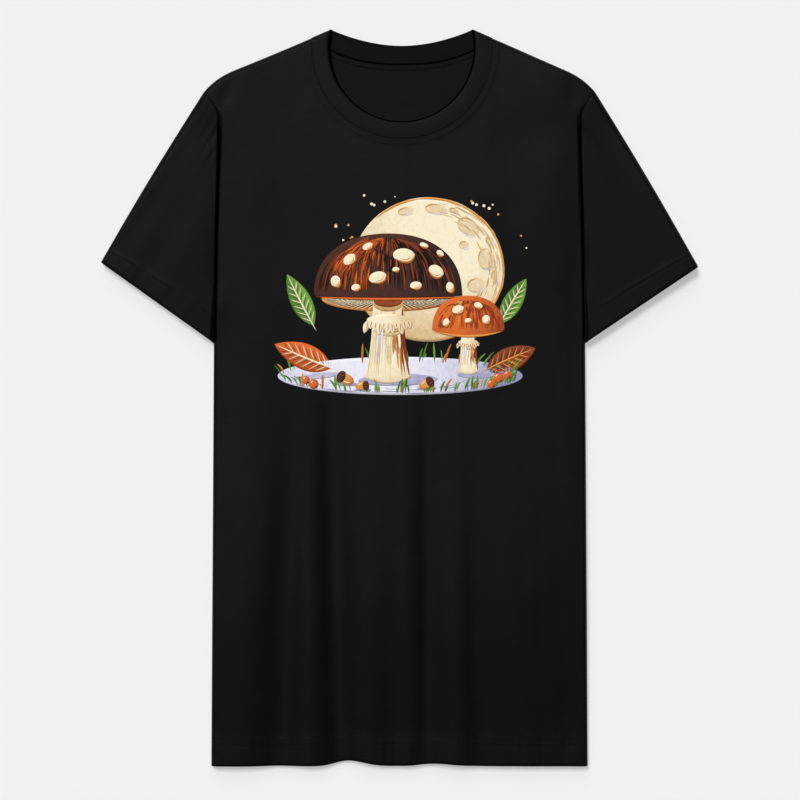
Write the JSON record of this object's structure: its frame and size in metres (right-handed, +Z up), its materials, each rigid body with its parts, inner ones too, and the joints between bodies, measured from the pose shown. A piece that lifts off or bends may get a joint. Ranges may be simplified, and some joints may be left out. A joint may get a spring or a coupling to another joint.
{
  "type": "crew-neck t-shirt",
  "caption": "Short-sleeved crew-neck T-shirt of black cotton jersey with a ribbed neckband, lying flat on its back, with a woodland print on the chest.",
  "frame": {"origin": "under the middle of the shirt's outline, on the surface that its back lies on", "axes": "+X across the shirt towards the right sleeve as seen from the front, +Y from the hem to the neck, +Z up out of the front"},
  "size_m": [0.597, 0.737, 0.0182],
  "materials": {
    "jersey": "matt black single jersey of combed cotton",
    "rib": "matt black cotton rib",
    "neck_tape": "matt black woven tape",
    "ink_cream": "soft matt printed ink",
    "ink_dark_brown": "soft matt printed ink",
    "ink_russet": "soft matt printed ink",
    "ink_amber": "soft matt printed ink",
    "ink_orange": "soft matt printed ink",
    "ink_green": "soft matt printed ink",
    "ink_pale": "soft matt printed ink"
  },
  "bodies": {
    "root": {"front_panel": "jersey", "back_panel": "jersey", "sleeve_left": "jersey", "sleeve_right": "jersey", "neckband": "rib", "neck_tape": "neck_tape", "print_moon": "ink_cream", "print_ground": "ink_pale", "print_leaf_left": "ink_orange", "print_leaf_right": "ink_russet", "print_leaf_top_left": "ink_green", "print_leaf_top_right": "ink_green", "print_small_stem": "ink_cream", "print_small_cap": "ink_orange", "print_stem": "ink_cream", "print_gills": "ink_amber", "print_cap": "ink_dark_brown", "print_cap_glow": "ink_russet", "print_spot_1": "ink_cream", "print_spot_2": "ink_cream", "print_spot_3": "ink_cream", "print_spot_4": "ink_cream"}
  },
  "joints": []
}
